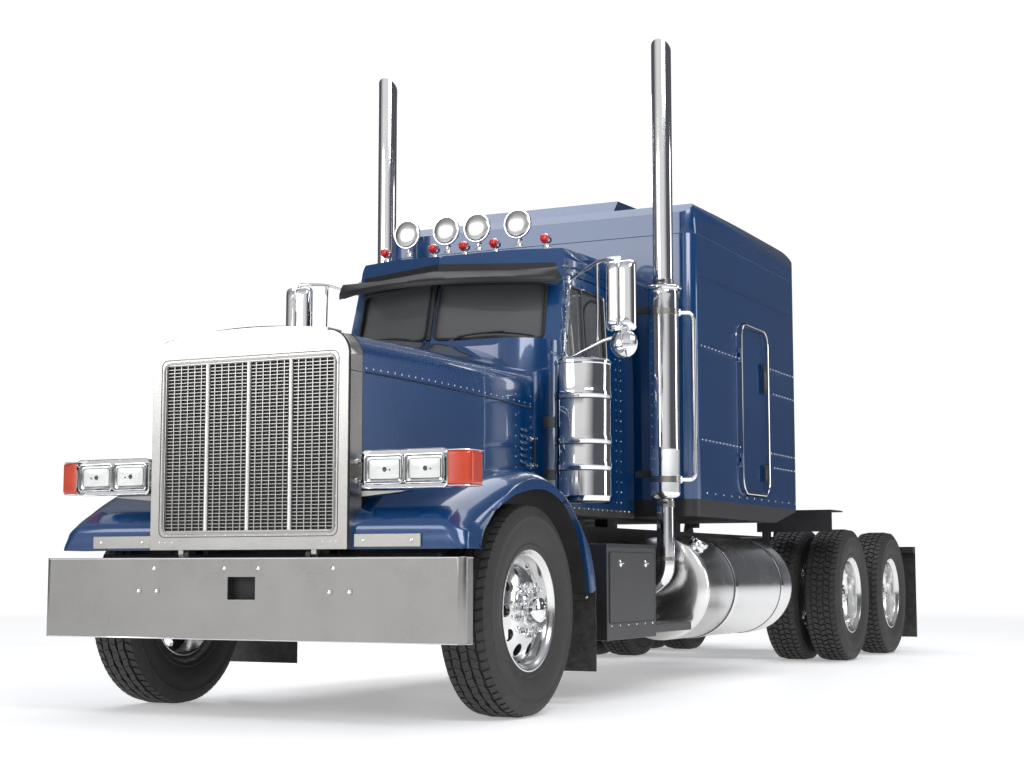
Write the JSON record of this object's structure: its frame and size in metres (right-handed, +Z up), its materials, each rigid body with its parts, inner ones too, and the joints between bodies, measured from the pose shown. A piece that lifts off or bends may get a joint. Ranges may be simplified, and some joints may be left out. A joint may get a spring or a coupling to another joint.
{
  "type": "semi truck tractor unit",
  "caption": "Long-nosed conventional semi tractor with sleeper cab, twin exhaust stacks, tandem drive axles and fifth wheel; bonnet, doors, steering and wheels move.",
  "frame": {"origin": "on the ground, on the centreline, midway between the bumper's face and the rear flaps' back", "axes": "+Z up, -Y forwards, +X towards the driver's side"},
  "size_m": [2.438, 9.05, 4.084],
  "materials": {
    "frame_black": "satin",
    "cast_grey": "rough",
    "radiator_black": "matt",
    "body_blue": "gloss",
    "polished": "polished",
    "bright_chrome": "mirror",
    "tank_aluminium": "polished",
    "rim_aluminium": "polished",
    "tyre_rubber": "matt",
    "window_glass": "clear",
    "cab_plastic": "grained",
    "seat_cloth": "woven",
    "flap_rubber": "matt",
    "amber": "lens"
  },
  "bodies": {
    "chassis": {"chassis_frame": "frame_black", "front_bumper": "polished", "front_axle": "frame_black", "suspension": "frame_black", "drive_axles": "frame_black", "driveshafts": "frame_black", "engine_block": "cast_grey", "radiator": "radiator_black", "cab_floor": "body_blue", "cab_walls": "body_blue", "cab_roof": "body_blue", "windscreen": "window_glass", "dashboard": "cab_plastic", "seats": "seat_cloth", "sun_visor": "cab_plastic", "roof_lamps": "bright_chrome", "air_cleaners": "bright_chrome", "sleeper_floor": "body_blue", "sleeper_sides": "body_blue", "sleeper_ends": "body_blue", "sleeper_roof": "body_blue", "bunk": "seat_cloth", "fuel_tanks": "tank_aluminium", "side_steps": "tank_aluminium", "exhaust_stacks": "bright_chrome", "rear_mudguards": "frame_black"},
    "hood": {"hood": "body_blue", "front_fenders": "body_blue", "front_mudflaps": "flap_rubber", "grille_shell": "polished", "grille_mesh": "polished", "headlamps": "bright_chrome", "turn_signals": "amber"},
    "door_left": {"door_left": "body_blue", "door_glass_left": "window_glass", "mirror_left": "bright_chrome"},
    "luggage_door_left": {"luggage_door_left": "body_blue"},
    "door_right": {"door_right": "body_blue", "door_glass_right": "window_glass", "mirror_right": "bright_chrome"},
    "luggage_door_right": {"luggage_door_right": "body_blue"},
    "knuckle_left": {"knuckle_left": "frame_black"},
    "steer_wheel_left": {"steer_rim_left": "rim_aluminium", "steer_tyre_left": "tyre_rubber"},
    "knuckle_right": {"knuckle_right": "frame_black"},
    "steer_wheel_right": {"steer_rim_right": "rim_aluminium", "steer_tyre_right": "tyre_rubber"},
    "tie_rod": {"tie_rod": "frame_black"},
    "steering_wheel": {"steering_wheel": "cab_plastic"},
    "drive_wheel_front_left": {"drive_rims_front_left": "rim_aluminium", "drive_tyres_front_left": "tyre_rubber"},
    "drive_wheel_front_right": {"drive_rims_front_right": "rim_aluminium", "drive_tyres_front_right": "tyre_rubber"},
    "drive_wheel_rear_left": {"drive_rims_rear_left": "rim_aluminium", "drive_tyres_rear_left": "tyre_rubber"},
    "drive_wheel_rear_right": {"drive_rims_rear_right": "rim_aluminium", "drive_tyres_rear_right": "tyre_rubber"},
    "fifth_wheel": {"fifth_wheel": "frame_black"}
  },
  "joints": [
    {"name": "hood_tilt", "type": "hinge", "parent": "chassis", "child": "hood", "pos_m": [0, -4.475, 0.8], "axis": [1, 0, 0], "range_deg": [0, 70]},
    {"name": "door_left_hinge", "type": "hinge", "parent": "chassis", "child": "door_left", "pos_m": [0.738, -2.374, 1.54], "axis": [0, 0, -1], "range_deg": [0, 70]},
    {"name": "luggage_door_left_hinge", "type": "hinge", "parent": "chassis", "child": "luggage_door_left", "pos_m": [1.13, -0.288, 1.82], "axis": [0, 0, -1], "range_deg": [0, 90]},
    {"name": "door_right_hinge", "type": "hinge", "parent": "chassis", "child": "door_right", "pos_m": [-0.738, -2.374, 1.54], "axis": [0, 0, 1], "range_deg": [0, 70]},
    {"name": "luggage_door_right_hinge", "type": "hinge", "parent": "chassis", "child": "luggage_door_right", "pos_m": [-1.13, -0.288, 1.82], "axis": [0, 0, 1], "range_deg": [0, 90]},
    {"name": "steer_left", "type": "hinge", "parent": "chassis", "child": "knuckle_left", "pos_m": [0.86, -3.705, 0.525], "axis": [0, 0, 1], "range_deg": [-35, 35]},
    {"name": "steer_wheel_left_roll", "type": "hinge", "parent": "knuckle_left", "child": "steer_wheel_left", "pos_m": [1.034, -3.705, 0.525], "axis": [1, 0, 0], "continuous": true},
    {"name": "steer_right", "type": "hinge", "parent": "chassis", "child": "knuckle_right", "pos_m": [-0.86, -3.705, 0.525], "axis": [0, 0, 1], "range_deg": [-35, 35]},
    {"name": "steer_wheel_right_roll", "type": "hinge", "parent": "knuckle_right", "child": "steer_wheel_right", "pos_m": [-1.034, -3.705, 0.525], "axis": [1, 0, 0], "continuous": true},
    {"name": "tie_rod_swing", "type": "hinge", "parent": "knuckle_left", "child": "tie_rod", "pos_m": [0.86, -3.505, 0.4237], "axis": [0, 0, 1], "range_deg": [-35, 35]},
    {"name": "steering_wheel_turn", "type": "hinge", "parent": "chassis", "child": "steering_wheel", "pos_m": [0.39, -2.253, 1.835], "axis": [0, 0.8829, 0.4695], "range_deg": [-630, 630]},
    {"name": "drive_wheel_front_left_roll", "type": "hinge", "parent": "chassis", "child": "drive_wheel_front_left", "pos_m": [0.909, 2.265, 0.525], "axis": [1, 0, 0], "continuous": true},
    {"name": "drive_wheel_front_right_roll", "type": "hinge", "parent": "chassis", "child": "drive_wheel_front_right", "pos_m": [-0.909, 2.265, 0.525], "axis": [1, 0, 0], "continuous": true},
    {"name": "drive_wheel_rear_left_roll", "type": "hinge", "parent": "chassis", "child": "drive_wheel_rear_left", "pos_m": [0.909, 3.585, 0.525], "axis": [1, 0, 0], "continuous": true},
    {"name": "drive_wheel_rear_right_roll", "type": "hinge", "parent": "chassis", "child": "drive_wheel_rear_right", "pos_m": [-0.909, 3.585, 0.525], "axis": [1, 0, 0], "continuous": true},
    {"name": "fifth_wheel_tilt", "type": "hinge", "parent": "chassis", "child": "fifth_wheel", "pos_m": [0, 2.865, 1.12], "axis": [1, 0, 0], "range_deg": [-12, 12]}
  ],
  "couplings": [
    {"joint": "steer_right", "follows": "steer_left", "ratio": 1},
    {"joint": "tie_rod_swing", "follows": "steer_left", "ratio": -1},
    {"joint": "steering_wheel_turn", "follows": "steer_left", "ratio": 18}
  ]
}
